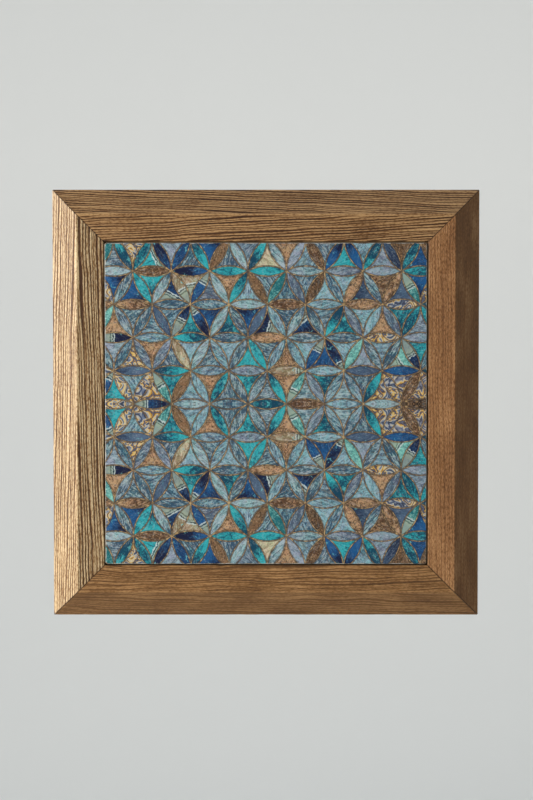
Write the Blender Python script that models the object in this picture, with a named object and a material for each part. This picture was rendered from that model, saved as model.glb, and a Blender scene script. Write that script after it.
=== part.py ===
"""Stone painting panel: a printed natural-stone tile in a mitred wooden frame, made to hang on a wall.

Metres, +Z up. The back of the frame lies in the plane Y = 0 and the painted face looks towards -Y.
The origin is the middle of the top rail's flat back. Depths are measured from the wall, towards -Y.
"""
from math import cos, pi, sin, tau

import bmesh
import bpy
from mathutils import Vector

MM = 0.001

# Gap left between two pieces that touch in the real thing.
TOUCH_GAP = 0.3 * MM

# Stone tile.
STONE_WIDTH = 330 * MM
STONE_HEIGHT = 330 * MM
STONE_THICKNESS = 10 * MM
STONE_CORNER_RADIUS = 2.0 * MM
STONE_ARRIS = 0.7 * MM
STONE_JOINT = 1.5 * MM  # open joint between the stone and the frame, all round
STONE_PROUD = 0.6 * MM  # how far the face stands in front of the frame's inner edge

# Backing board, and the hollow left behind it.
BOARD_THICKNESS = 6 * MM
BOARD_PLAY = 0.5 * MM  # between the board's edge and the wall of the rebate
RECESS_DEPTH = 12 * MM  # from the wall to the back of the board

# Section of a frame rail.
OUTER_BEVEL_WIDTH = 26.0 * MM  # outer edge to ridge
INNER_SLOPE_WIDTH = 27.5 * MM  # ridge to inner edge
OUTER_SIDE_DEPTH = 10 * MM  # height of the outer side, wall to bevel
RIDGE_RISE = 2.3 * MM  # how far the ridge stands in front of the inner edge
REBATE_WIDTH = 9.5 * MM
RIDGE_ROUNDING = 1.2 * MM
EDGE_ROUNDING = 0.8 * MM

# Framer's points that hold the board.
PIN_WIDTH = 6 * MM
PIN_THICKNESS = 0.8 * MM
PIN_EXPOSED = 12 * MM  # length that shows, over the board
PIN_SET = 5 * MM  # length driven into the rail
PIN_POINT = 3 * MM  # length of the sharpened end
PIN_TIP_WIDTH = 2 * MM
PIN_SPACING = 180 * MM  # between the two points of one rail

# Toothed hanger: a strip whose middle is raised off the board.
HANGER_LENGTH = 66 * MM
HANGER_HEIGHT = 12 * MM
HANGER_THICKNESS = 1.0 * MM
HANGER_TAB = 12 * MM  # flat end that is screwed down
HANGER_RAMP = 4 * MM
HANGER_LIFT = 3 * MM
HANGER_CLIPPED_CORNER = 2 * MM
HANGER_DROP = 8 * MM  # from the rebate's upper wall down to the hanger
TOOTH_PITCH = 3 * MM
TOOTH_DEPTH = 1.6 * MM
TOOTH_MARGIN = 0.2 * MM  # straight edge left at least, before the first tooth

# Pan-head screws of the hanger.
SCREW_HEAD_DIAMETER = 6.4 * MM
SCREW_HEAD_HEIGHT = 2.2 * MM
SCREW_HEAD_ROUNDING = 1.0 * MM
SCREW_SHANK_DIAMETER = 3.0 * MM
SCREW_LENGTH = 5.6 * MM  # under the head
SCREW_POINT = 1.4 * MM  # length of the taper
SCREW_TIP_DIAMETER = 0.8 * MM
SCREW_SLOT_WIDTH = 1.1 * MM
SCREW_SLOT_SPAN = 3.8 * MM
SCREW_SLOT_DEPTH = 1.2 * MM

# Facets of a rounded edge and of a full circle.
EDGE_STEPS = 3
ARRIS_STEPS = 2
ROUND_SIDES = 24

# Sizes that follow from those above.
RAIL_WIDTH = OUTER_BEVEL_WIDTH + INNER_SLOPE_WIDTH
BACK_LAND_WIDTH = RAIL_WIDTH - REBATE_WIDTH
OPENING_WIDTH = STONE_WIDTH + 2 * STONE_JOINT
OPENING_HEIGHT = STONE_HEIGHT + 2 * STONE_JOINT
FRAME_WIDTH = OPENING_WIDTH + 2 * RAIL_WIDTH
FRAME_HEIGHT = OPENING_HEIGHT + 2 * RAIL_WIDTH
BOARD_WIDTH = OPENING_WIDTH + 2 * (REBATE_WIDTH - BOARD_PLAY)
BOARD_HEIGHT = OPENING_HEIGHT + 2 * (REBATE_WIDTH - BOARD_PLAY)
BOARD_FRONT = RECESS_DEPTH + BOARD_THICKNESS
REBATE_FRONT = BOARD_FRONT + TOUCH_GAP
STONE_BACK = BOARD_FRONT + TOUCH_GAP
STONE_FACE = STONE_BACK + STONE_THICKNESS
INNER_EDGE_DEPTH = STONE_FACE - STONE_PROUD
RIDGE_DEPTH = INNER_EDGE_DEPTH + RIDGE_RISE
PIN_BACK = RECESS_DEPTH - TOUCH_GAP - PIN_THICKNESS
HANGER_FRONT = RECESS_DEPTH - TOUCH_GAP
SCREW_SEAT = HANGER_FRONT - HANGER_THICKNESS - TOUCH_GAP
SCREW_REACH = (HANGER_LENGTH - HANGER_TAB) / 2
TOP_EDGE = BACK_LAND_WIDTH / 2  # puts the origin at the middle of the top rail's back
CENTRE = Vector((0, 0, TOP_EDGE - FRAME_HEIGHT / 2))
HANGER_MIDDLE = TOP_EDGE - BACK_LAND_WIDTH - HANGER_DROP - HANGER_HEIGHT / 2


def finish(name, colour, roughness, metallic=0.0):
    """A Principled material of one linear colour."""
    made = bpy.data.materials.new(name)
    made.use_nodes = True
    shader = made.node_tree.nodes["Principled BSDF"]
    shader.inputs["Base Color"].default_value = (*colour, 1)
    shader.inputs["Roughness"].default_value = roughness
    shader.inputs["Metallic"].default_value = metallic
    made.diffuse_color = (*colour, 1)
    return made


def place(name, mesh, material=None, parent=None, location=(0, 0, 0), turn=0.0):
    """Turns a bmesh into an object, turned about Y and set at its place."""
    data = bpy.data.meshes.new(name)
    mesh.to_mesh(data)
    mesh.free()
    if material:
        data.materials.append(material)
    thing = bpy.data.objects.new(name, data)
    bpy.context.collection.objects.link(thing)
    thing.parent = parent
    thing.location = location
    thing.rotation_euler = (0, turn, 0)
    return thing


def smooth(thing, sharpest=pi / 6):
    """Shades the rounded stretches smooth and leaves the real edges sharp."""
    thing.data.shade_smooth()
    thing.data.set_sharp_from_angle(angle=sharpest)


def prism(outline, direction):
    """Extrudes a flat outline of points along a direction into one closed body."""
    mesh = bmesh.new()
    face = mesh.faces.new([mesh.verts.new(point) for point in outline])
    pulled = bmesh.ops.extrude_face_region(mesh, geom=[face])
    moved = [item for item in pulled["geom"] if isinstance(item, bmesh.types.BMVert)]
    bmesh.ops.translate(mesh, vec=direction, verts=moved)
    bmesh.ops.recalc_face_normals(mesh, faces=mesh.faces)
    return mesh


def block(low, high):
    """A closed box between two corners."""
    mesh = bmesh.new()
    bmesh.ops.create_cube(mesh, size=1)
    low, high = Vector(low), Vector(high)
    bmesh.ops.scale(mesh, vec=high - low, verts=mesh.verts)
    bmesh.ops.translate(mesh, vec=(low + high) / 2, verts=mesh.verts)
    return mesh


def rod(radius, low, high, across, up):
    """A round bar along Y between two depths, at a place across and up."""
    angles = [tau * side / ROUND_SIDES for side in range(ROUND_SIDES)]
    outline = [(across + radius * cos(a), -low, up + radius * sin(a)) for a in angles]
    return prism(outline, (0, low - high, 0))


def join(meshes):
    """Puts several closed bodies that don't touch into one bmesh, as a cutter."""
    whole = bmesh.new()
    for mesh in meshes:
        data = bpy.data.meshes.new("cutter")
        mesh.to_mesh(data)
        mesh.free()
        whole.from_mesh(data)
        bpy.data.meshes.remove(data)
    return whole


def cut(thing, cutter_mesh, name):
    """Takes a cutter, given in the object's own coordinates, out of the object."""
    cutter = place(name, cutter_mesh, parent=thing)
    cutter.hide_render = True
    cutter.display_type = "WIRE"
    boolean = thing.modifiers.new(name, "BOOLEAN")
    boolean.operation = "DIFFERENCE"
    boolean.solver = "EXACT"
    boolean.object = cutter


def rail_mesh(length):
    """A rail along X with its outer edge at Z = 0, mitred at both ends, with eased long edges."""
    section = [
        (0, 0),
        (0, OUTER_SIDE_DEPTH),
        (OUTER_BEVEL_WIDTH, RIDGE_DEPTH),
        (RAIL_WIDTH, INNER_EDGE_DEPTH),
        (RAIL_WIDTH, REBATE_FRONT),
        (BACK_LAND_WIDTH, REBATE_FRONT),
        (BACK_LAND_WIDTH, 0),
    ]
    roundings = [EDGE_ROUNDING, EDGE_ROUNDING, RIDGE_ROUNDING, EDGE_ROUNDING]
    mesh = prism([(-length / 2, -depth, -inset) for inset, depth in section], (length, 0, 0))
    for (inset, depth), rounding in zip(section, roundings):
        corner = Vector((-depth, -inset))
        ends = [v for v in mesh.verts if (v.co.yz - corner).length < TOUCH_GAP / 10]
        long_edge = [edge for edge in mesh.edges if set(edge.verts) == set(ends)]
        bmesh.ops.bevel(
            mesh, geom=long_edge, offset=rounding, segments=EDGE_STEPS, profile=0.5, affect="EDGES"
        )
    # The mitre: each end is sheared to 45 degrees, short of the joint by half the gap.
    setback = TOUCH_GAP / 2 * 2**0.5
    for vertex in mesh.verts:
        side = 1 if vertex.co.x > 0 else -1
        vertex.co.x = side * (length / 2 + vertex.co.z - setback)
    return mesh


def pin_mesh():
    """A flat point whose sharpened end goes into the rail, towards +Z, from the rebate at Z = 0."""
    half, tip = PIN_WIDTH / 2, PIN_TIP_WIDTH / 2
    outline = [
        (-half, 0, -PIN_EXPOSED),
        (half, 0, -PIN_EXPOSED),
        (half, 0, PIN_SET - PIN_POINT),
        (tip, 0, PIN_SET),
        (-tip, 0, PIN_SET),
        (-half, 0, PIN_SET - PIN_POINT),
    ]
    return prism(outline, (0, -PIN_THICKNESS, 0))


def pin_slots():
    """The slots in one rail that its two points sit in, a gap larger all round."""
    slots = []
    for middle in (-PIN_SPACING / 2, PIN_SPACING / 2):
        across = PIN_WIDTH / 2 + TOUCH_GAP
        deep = PIN_BACK + PIN_THICKNESS + TOUCH_GAP
        inner = PIN_SET + TOUCH_GAP - BACK_LAND_WIDTH
        low = (middle - across, -deep, -BACK_LAND_WIDTH - TOUCH_GAP)
        high = (middle + across, TOUCH_GAP - PIN_BACK, inner)
        slots.append(block(low, high))
    return join(slots)


def stone_mesh():
    """The tile, with rounded corners and a worn arris round both faces."""
    corner = Vector((STONE_WIDTH / 2, 0, STONE_HEIGHT / 2))
    front, back = Vector((0, -STONE_FACE, 0)), Vector((0, -STONE_BACK, 0))
    mesh = block(front - corner, back + corner)

    def edges(through):
        """The edges that run through the thickness, or the ones round the two faces."""
        return [e for e in mesh.edges if (e.verts[0].co.y != e.verts[1].co.y) == through]

    bmesh.ops.bevel(
        mesh,
        geom=edges(True),
        offset=STONE_CORNER_RADIUS,
        segments=EDGE_STEPS,
        profile=0.5,
        affect="EDGES",
    )
    bmesh.ops.bevel(
        mesh,
        geom=edges(False),
        offset=STONE_ARRIS,
        segments=ARRIS_STEPS,
        profile=0.5,
        affect="EDGES",
    )
    return mesh


def hanger_mesh():
    """The strip's front as a sheet, its middle raised off the board and its lower edge toothed."""
    half = HANGER_LENGTH / 2
    ramp_foot = half - HANGER_TAB
    ramp_head = ramp_foot - HANGER_RAMP
    teeth = int(2 * (ramp_head - TOOTH_MARGIN) / TOOTH_PITCH)
    first = -teeth * TOOTH_PITCH / 2
    # Each station is a place along the strip, its lift, and what its top and bottom edge lose.
    end = [
        (-half, 0, HANGER_CLIPPED_CORNER, HANGER_CLIPPED_CORNER),
        (-half + HANGER_CLIPPED_CORNER, 0, 0, 0),
        (-ramp_foot, 0, 0, 0),
        (-ramp_head, HANGER_LIFT, 0, 0),
    ]
    toothed = [(first, HANGER_LIFT, 0, 0)]
    for tooth in range(teeth):
        toothed.append((first + (tooth + 0.5) * TOOTH_PITCH, HANGER_LIFT, 0, TOOTH_DEPTH))
        toothed.append((first + (tooth + 1) * TOOTH_PITCH, HANGER_LIFT, 0, 0))
    other_end = [(-along, *rest) for along, *rest in reversed(end)]
    mesh = bmesh.new()
    columns = []
    for along, lift, top_loss, bottom_loss in end + toothed + other_end:
        depth = HANGER_FRONT - lift
        top = mesh.verts.new((along, -depth, HANGER_HEIGHT / 2 - top_loss))
        bottom = mesh.verts.new((along, -depth, bottom_loss - HANGER_HEIGHT / 2))
        columns.append((top, bottom))
    for (top, bottom), (next_top, next_bottom) in zip(columns, columns[1:]):
        mesh.faces.new((top, bottom, next_bottom, next_top))
    return mesh


def screw_mesh():
    """A pan-head screw along -Y, turned from its profile, with its seat at Y = 0."""
    head, shank, tip = SCREW_HEAD_DIAMETER / 2, SCREW_SHANK_DIAMETER / 2, SCREW_TIP_DIAMETER / 2
    crown = head - SCREW_HEAD_ROUNDING
    shoulder = SCREW_HEAD_HEIGHT - SCREW_HEAD_ROUNDING
    profile = [(0, SCREW_HEAD_HEIGHT)]
    for step in range(EDGE_STEPS + 1):
        angle = pi / 2 * (1 - step / EDGE_STEPS)
        across = crown + SCREW_HEAD_ROUNDING * cos(angle)
        profile.append((across, shoulder + SCREW_HEAD_ROUNDING * sin(angle)))
    profile += [
        (head, 0),
        (shank, 0),
        (shank, SCREW_POINT - SCREW_LENGTH),
        (tip, -SCREW_LENGTH),
        (0, -SCREW_LENGTH),
    ]
    mesh = bmesh.new()
    points = [mesh.verts.new((radius, height, 0)) for radius, height in profile]
    line = [mesh.edges.new(pair) for pair in zip(points, points[1:])]
    bmesh.ops.spin(
        mesh, geom=points + line, axis=(0, 1, 0), angle=tau, steps=ROUND_SIDES, use_merge=True
    )
    bmesh.ops.remove_doubles(mesh, verts=mesh.verts, dist=0.001 * MM)
    bmesh.ops.recalc_face_normals(mesh, faces=mesh.faces)
    return mesh


def cross_slot():
    """The crossed recess in a screw's head."""
    far, near = SCREW_SLOT_SPAN / 2, SCREW_SLOT_WIDTH / 2
    bottom = SCREW_HEAD_HEIGHT - SCREW_SLOT_DEPTH
    arm = [(far, -near), (far, near), (near, near)]
    outline = []
    for _ in range(4):
        outline += [(x, bottom, z) for x, z in arm]
        arm = [(-z, x) for x, z in arm]
    return prism(outline, (0, SCREW_SLOT_DEPTH + TOUCH_GAP, 0))


for old in list(bpy.data.objects):
    bpy.data.objects.remove(old)

WOOD = finish("walnut stained ash", (0.155, 0.080, 0.042), 0.55)
LIGHT_WOOD = finish("walnut stained ash, lighter board", (0.30, 0.17, 0.09), 0.5)
STONE = finish("printed travertine", (0.13, 0.17, 0.18), 0.45)
BOARD = finish("medium density fibreboard", (0.33, 0.21, 0.12), 0.85)
STEEL = finish("zinc plated steel", (0.55, 0.55, 0.53), 0.35, 1.0)

panel = bpy.data.objects.new("stone painting panel", None)
bpy.context.collection.objects.link(panel)

# The four rails, each with its name, its outward direction in X and Z, its length and its wood.
RAILS = [
    ("top", (0, 1), FRAME_WIDTH, WOOD),
    ("right", (1, 0), FRAME_HEIGHT, WOOD),
    ("bottom", (0, -1), FRAME_WIDTH, WOOD),
    ("left", (-1, 0), FRAME_HEIGHT, LIGHT_WOOD),
]
pin_number = 0
for quarter, (side_name, (out_x, out_z), length, wood) in enumerate(RAILS):
    turn = quarter * pi / 2
    outward = Vector((out_x, 0, out_z))
    along = Vector((out_z, 0, -out_x))
    outer_edge = CENTRE + Vector((out_x * FRAME_WIDTH / 2, 0, out_z * FRAME_HEIGHT / 2))
    rail = place("frame_rail_" + side_name, rail_mesh(length), wood, panel, outer_edge, turn)
    smooth(rail)
    cut(rail, pin_slots(), "pin slots " + side_name)
    rebate = outer_edge - outward * BACK_LAND_WIDTH - Vector((0, PIN_BACK, 0))
    for step in (-1, 1):
        pin_number += 1
        spot = rebate + along * step * PIN_SPACING / 2
        place(f"board_pin_{pin_number}", pin_mesh(), STEEL, panel, spot, turn)

place("stone_panel", stone_mesh(), STONE, panel, CENTRE)

board_corner = Vector((BOARD_WIDTH / 2, 0, BOARD_HEIGHT / 2))
board_front, board_back = Vector((0, -BOARD_FRONT, 0)), Vector((0, -RECESS_DEPTH, 0))
board_mesh = block(board_front - board_corner, board_back + board_corner)
board = place("backing_board", board_mesh, BOARD, panel, CENTRE)

hanger = place("hanger", hanger_mesh(), STEEL, panel, (0, 0, HANGER_MIDDLE))
plate = hanger.modifiers.new("plate thickness", "SOLIDIFY")
plate.thickness = HANGER_THICKNESS
plate.offset = -1
plate.use_even_offset = True

hole_radius = SCREW_SHANK_DIAMETER / 2 + TOUCH_GAP
hole_foot = SCREW_SEAT + SCREW_LENGTH + TOUCH_GAP
up_board = HANGER_MIDDLE - CENTRE.z
plate_holes = []
board_holes = []
for side_name, across in (("left", -SCREW_REACH), ("right", SCREW_REACH)):
    spot = Vector((across, -SCREW_SEAT, HANGER_MIDDLE))
    screw = place("hanger_screw_" + side_name, screw_mesh(), STEEL, panel, spot)
    smooth(screw)
    cut(screw, cross_slot(), "cross slot " + side_name)
    plate_holes.append(rod(hole_radius, SCREW_SEAT, hole_foot, across, 0))
    board_holes.append(rod(hole_radius, SCREW_SEAT, hole_foot, across, up_board))
cut(hanger, join(plate_holes), "screw holes in the hanger")
cut(board, join(board_holes), "screw holes in the board")
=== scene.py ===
from math import cos, pi, radians, sin, sqrt, tau

import bmesh
import bpy
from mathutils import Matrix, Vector, noise


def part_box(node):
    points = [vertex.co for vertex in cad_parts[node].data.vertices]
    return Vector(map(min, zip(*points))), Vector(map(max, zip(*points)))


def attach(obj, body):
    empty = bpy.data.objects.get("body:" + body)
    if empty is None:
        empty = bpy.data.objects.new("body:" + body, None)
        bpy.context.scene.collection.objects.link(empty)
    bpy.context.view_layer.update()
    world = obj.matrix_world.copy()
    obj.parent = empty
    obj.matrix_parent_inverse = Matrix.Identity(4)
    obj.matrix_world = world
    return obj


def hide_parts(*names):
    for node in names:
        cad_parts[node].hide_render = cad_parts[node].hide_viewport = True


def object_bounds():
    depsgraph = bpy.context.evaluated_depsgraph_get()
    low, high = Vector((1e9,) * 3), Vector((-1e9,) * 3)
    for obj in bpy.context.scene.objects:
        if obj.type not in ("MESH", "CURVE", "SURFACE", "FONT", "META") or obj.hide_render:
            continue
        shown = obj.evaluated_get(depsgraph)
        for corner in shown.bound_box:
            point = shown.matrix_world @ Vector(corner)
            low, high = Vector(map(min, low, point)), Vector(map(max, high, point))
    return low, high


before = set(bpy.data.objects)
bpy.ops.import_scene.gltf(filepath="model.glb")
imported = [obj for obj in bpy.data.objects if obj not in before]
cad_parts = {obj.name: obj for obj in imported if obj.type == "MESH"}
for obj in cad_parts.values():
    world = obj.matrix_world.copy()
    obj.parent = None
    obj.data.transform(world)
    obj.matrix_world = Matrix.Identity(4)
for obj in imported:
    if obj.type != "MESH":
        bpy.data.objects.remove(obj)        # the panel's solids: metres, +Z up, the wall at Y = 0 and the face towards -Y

MM = 0.001
cad_low, cad_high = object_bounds()

# The frame rails: four lengths of ash moulding with a steep outer bevel, a ridge and a nearly flat inner
# slope, stained walnut brown under a thin satin lacquer. They are mitred, glued and nailed together, the
# grain runs along each of them, and a rebate in the back takes the stone and its board.
OUTER_BEVEL_WIDTH = 26.0 * MM
OUTER_SIDE_DEPTH = 10 * MM  # of the frame's outer side, from the wall to the bevel
RIDGE_RISE = 2.3 * MM  # from the inner edge to the ridge
STONE_PROUD = 0.6 * MM  # the stone's face, in front of the frame's inner edge
REBATE_WIDTH = 9.5 * MM
RIDGE_ROUNDING = 1.2 * MM
EDGE_ROUNDING = 0.8 * MM
ROUNDING_POINTS = 4
MITRE_GAP = 0.3 * MM
RAIL_STEP_ALONG = 2.6 * MM  # from point to point of the mesh
RAIL_STEP_ACROSS = 0.5 * MM


class Wire:
    """One output of a node. An expression on wires adds Math nodes to their tree."""

    def __init__(self, tree, socket):
        self.tree = tree
        self.socket = socket

    def __getitem__(self, name):
        """Another output of the same node."""
        return Wire(self.tree, self.socket.node.outputs[name])

    def math(self, operation, *values):
        return self.tree.node("ShaderNodeMath", {"operation": operation}, dict(enumerate(values)))

    def __add__(self, other):
        return self.math("ADD", self, other)

    def __sub__(self, other):
        return self.math("SUBTRACT", self, other)

    def __rsub__(self, other):
        return self.math("SUBTRACT", other, self)

    def __mul__(self, other):
        return self.math("MULTIPLY", self, other)

    def __truediv__(self, other):
        return self.math("DIVIDE", self, other)

    def __abs__(self):
        return self.math("ABSOLUTE", self)

    def __lt__(self, other):
        return self.math("LESS_THAN", self, other)

    def __gt__(self, other):
        return self.math("GREATER_THAN", self, other)

    __radd__ = __add__

    def floor(self):
        return self.math("FLOOR", self)

    def sine(self):
        return self.math("SINE", self)

    def fold(self):
        """Runs up and down between 0 and 1."""
        return self.math("PINGPONG", self, 1.0)

    def least(self, other):
        return self.math("MINIMUM", self, other)

    def most(self, other):
        return self.math("MAXIMUM", self, other)

    def choose(self, when_zero, when_one):
        """Goes from one value to another as this wire goes from 0 to 1."""
        return when_zero + self * (when_one - when_zero)

    def rise(self, low, high):
        """Goes smoothly from 0 to 1 between two values."""
        limits = {"Value": self, "From Min": low, "From Max": high}
        return self.tree.node("ShaderNodeMapRange", {"interpolation_type": "SMOOTHSTEP"}, limits)


class Tree:
    """Adds the nodes of one material or one Geometry Nodes group."""

    def __init__(self, group):
        self.group = group

    def node(self, kind, settings=None, inputs=None, output=0):
        made = self.group.nodes.new(kind)
        for name, value in (settings or {}).items():
            setattr(made, name, value)
        for name, value in (inputs or {}).items():
            if isinstance(value, Wire):
                self.group.links.new(value.socket, made.inputs[name])
            else:
                made.inputs[name].default_value = value
        return Wire(self, made.outputs[output]) if made.outputs else None

    def vector(self, x, y, z):
        return self.node("ShaderNodeCombineXYZ", None, {"X": x, "Y": y, "Z": z})

    def noise(self, vector, scale, detail, roughness=0.5, distortion=0.0):
        values = {"Vector": vector, "Scale": scale, "Detail": detail}
        values |= {"Roughness": roughness, "Distortion": distortion}
        return self.node("ShaderNodeTexNoise", None, values)

    def mix(self, factor, first, second, how="MIX"):
        settings = {"data_type": "RGBA", "blend_type": how}
        return self.node("ShaderNodeMix", settings, {0: factor, 6: first, 7: second}, output=2)

    def ramp(self, factor, stops, steps="LINEAR"):
        made = self.node("ShaderNodeValToRGB", None, {"Fac": factor})
        scale = made.socket.node.color_ramp
        for place, colour in stops[2:]:
            scale.elements.new(place).color = colour
        for element, (place, colour) in zip(scale.elements, stops):
            element.position = place
            element.color = colour
        scale.interpolation = steps
        return made

    def read(self, attribute):
        return self.node("ShaderNodeAttribute", {"attribute_name": attribute})

    def split(self, vector):
        """The X, Y and Z wires of a vector."""
        parts = self.node("ShaderNodeSeparateXYZ", None, {"Vector": vector})
        return parts["X"], parts["Y"], parts["Z"]


def paint(red, green, blue):
    """A colour as a screen shows it, 0 to 255, in the linear values that a shader takes."""
    shares = [value / 255 for value in (red, green, blue)]
    linear = [s / 12.92 if s <= 0.04045 else ((s + 0.055) / 1.055) ** 2.4 for s in shares]
    return (*linear, 1.0)


def start_finish(name):
    """A new material, and the tree that its nodes go in."""
    made = bpy.data.materials.new(name)
    made.use_nodes = True
    made.node_tree.nodes.clear()
    return made, Tree(made.node_tree)


def close_finish(tree, colour, roughness, height, height_scale, metallic=0.0, specular=0.5):
    """Ends a material: its colour, its gloss and its fine relief, whose height is in metres."""
    bump = tree.node(
        "ShaderNodeBump", None, {"Height": height, "Distance": height_scale, "Strength": 1.0}
    )
    values = {"Base Color": colour, "Roughness": roughness, "Metallic": metallic}
    values |= {"Specular IOR Level": specular, "Normal": bump}
    shader = tree.node("ShaderNodeBsdfPrincipled", None, values)
    tree.node("ShaderNodeOutputMaterial", None, {"Surface": shader})


class Growth(Tree):
    """A Geometry Nodes group with named sizes, that is run on a starting mesh."""

    def __init__(self, name, sizes):
        super().__init__(bpy.data.node_groups.new(name, "GeometryNodeTree"))
        kinds = {size: "NodeSocketFloat" for size in sizes}
        kinds["Finish"] = "NodeSocketMaterial"
        sockets = self.group.interface
        sockets.new_socket("Geometry", in_out="OUTPUT", socket_type="NodeSocketGeometry")
        sockets.new_socket("Geometry", in_out="INPUT", socket_type="NodeSocketGeometry")
        self.sockets = {}
        for size, kind in kinds.items():
            made = sockets.new_socket(size, in_out="INPUT", socket_type=kind)
            self.sockets[size] = made.identifier
        self.given = self.node("NodeGroupInput")

    def step(self, kind, settings=None, output=0, **inputs):
        """A geometry node whose input names are written with underscores."""
        named = {name.replace("_", " "): value for name, value in inputs.items()}
        return self.node("GeometryNode" + kind, settings, named, output)

    def keep(self, geometry, name, value, kind="FLOAT"):
        """Stores a value on the points under a name."""
        settings = {"data_type": kind, "domain": "POINT"}
        return self.step("StoreNamedAttribute", settings, Geometry=geometry, Name=name, Value=value)

    def kept(self, name, kind="FLOAT"):
        return self.step("InputNamedAttribute", {"data_type": kind}, Name=name)

    def close(self, geometry):
        """Ends the group: real mesh, with its finish."""
        real = self.step("RealizeInstances", Geometry=geometry)
        dressed = self.step("SetMaterial", Geometry=real, Material=self.given["Finish"])
        self.node("NodeGroupOutput", None, {"Geometry": dressed})

    def grow(self, name, start, values):
        """Runs the group on a mesh and returns the result as a plain mesh object."""
        seed = show(name + "_start", start)
        modifier = seed.modifiers.new("growth", "NODES")
        modifier.node_group = self.group
        for size, value in values.items():
            modifier[self.sockets[size]] = value
        seed.update_tag()
        bpy.context.view_layer.update()
        seen = seed.evaluated_get(bpy.context.evaluated_depsgraph_get())
        data = bpy.data.meshes.new_from_object(seen)
        seed.modifiers.remove(modifier)
        bpy.data.objects.remove(seed)
        data.name = name
        return show(name, data)


def show(name, data):
    """A new object in the scene, at the origin."""
    made = bpy.data.objects.new(name, data)
    bpy.context.scene.collection.objects.link(made)
    return made


# How the growth rings lie in the wood. Widths are across the grain and lengths along it. What is added to a
# seed only keeps one noise apart from the next.
BEND_WIDTH = 45 * MM
BEND_LENGTH = 120 * MM
SHIVER_WIDTH = 8 * MM
SHIVER_LENGTH = 18 * MM
SHIVER_DEPTH = 1.3 * MM
RING_DRIFT = 2.4  # how uneven the rings' widths are, in rings
DRIFT_STEP = 0.45  # through the noise, from one ring to the next
DRIFT_LENGTH = 500 * MM
STRENGTH_STEP = 0.73
STRENGTH_LENGTH = 90 * MM
EARLY_WOOD = (0.38, 0.94)  # from a ring's middle to its edges, where softening starts and ends
CLEAR_RINGS = (0.20, 0.52)  # in their noise, from a ring that doesn't show to one that fully does
RIDGE_CLEARANCE = (0.2 * MM, 1.8 * MM)  # the ridge itself has no soft wood


def growth_rings(tree, along, across, seed, spacing, lean, wave):
    """How hard the wood is at a place: 0 in the porous early wood of each ring, 1 in the late wood."""
    bend = tree.noise(tree.vector(across / BEND_WIDTH, along / BEND_LENGTH, seed), 1, 2)
    shiver = tree.noise(tree.vector(across / SHIVER_WIDTH, along / SHIVER_LENGTH, seed + 3.0), 1, 2)
    place = abs(across) + along * lean + (bend - 0.5) * wave + (shiver - 0.5) * SHIVER_DEPTH
    count = place / spacing
    uneven = tree.noise(tree.vector(count * DRIFT_STEP, along / DRIFT_LENGTH, seed + 5.0), 1, 1)
    count = count + (uneven - 0.5) * RING_DRIFT
    number = count.floor()
    from_middle = abs(count - number - 0.5) * 2
    strength = tree.noise(tree.vector(number * STRENGTH_STEP, along / STRENGTH_LENGTH, seed + 11.0), 1, 3)
    off_ridge = abs(across).rise(*RIDGE_CLEARANCE)
    return 1 - from_middle.rise(*EARLY_WOOD) * strength.rise(*CLEAR_RINGS) * off_ridge


# How the stain shows in the wood.
FIBRE_WIDTH = 0.9 * MM
BLOTCH_WIDTH = 14 * MM
BLOTCH_LENGTH = 50 * MM
FLECK_WIDTH = 0.8 * MM
FLECK_LENGTH = 3.5 * MM
USUAL_HARDNESS = 0.68
HARD_TONE = 0.78  # how much lighter hard wood is, and next how much fibres differ
FIBRE_TONE = 1.2
FULLY_FLECKED = 1.8  # times a side's contrast, up to 1
OPEN_PORES = (0.56, 0.68)  # in the flecks' noise, from a closed pore to an open one
PORE_STAIN = (0.40, 0.36, 0.34, 1.0)  # what a pore leaves of the colour
SEAM = (0.25 * MM, 1.3 * MM)  # from a mitre, where its dark line starts and ends fading
SEAM_STAIN = 0.75


def stained_ash(name, seed, rings, tones, inner, outer, painted_slope_shade, fibre, flecks, mottle):
    """Stained open-pored ash. Each point of a rail keeps how far along and across the grain it lies."""
    made, tree = start_finish(name)
    along, across, _ = tree.split(tree.read("grain")["Vector"])
    hard = growth_rings(tree, along, across, seed, *rings)
    streak = tree.noise(tree.vector(across / FIBRE_WIDTH, along / fibre, seed + 2.0), 1, 3, 0.6)
    blotch = tree.noise(tree.vector(across / BLOTCH_WIDTH, along / BLOTCH_LENGTH, seed + 3.7), 1, 3, 0.55)
    fleck = tree.noise(tree.vector(across / FLECK_WIDTH, along / FLECK_LENGTH, seed + 9.1), 1, 2, 0.5)
    within = across > 0.0
    contrast = within.choose(outer, inner)
    speckled = (contrast * FULLY_FLECKED).least(1.0) * flecks
    figure = (hard - USUAL_HARDNESS) * HARD_TONE + (streak - 0.5) * FIBRE_TONE
    tone = 0.5 + figure * contrast + (fleck - 0.5) * speckled
    # Painted shade darkens the inner slope, and painted light brightens it where the rail's number is
    # negative, as light falls from the left.
    tone = tone + (blotch - 0.5) * mottle - within * painted_slope_shade
    dark, middle, light = [paint(*shade) for shade in tones]
    colour = tree.ramp(tone, [(0.04, dark), (0.5, middle), (0.92, light)])
    pore = fleck.rise(*OPEN_PORES) * (1 - hard * 0.4) * speckled * 0.6
    deep = tree.mix(1.0, colour, PORE_STAIN, "MULTIPLY")
    colour = tree.mix(pore.least(1.0), colour, deep)
    seam = 1 - tree.read("seam")["Fac"].rise(*SEAM)
    colour = tree.mix(seam * SEAM_STAIN, colour, deep)
    roughness = 0.58 - hard * 0.18 + pore * 0.2
    height = hard * 0.05 + streak * 0.05 * contrast - pore * 0.10
    close_finish(tree, colour, roughness, height, 1 * MM, specular=0.38)
    return made


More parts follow.
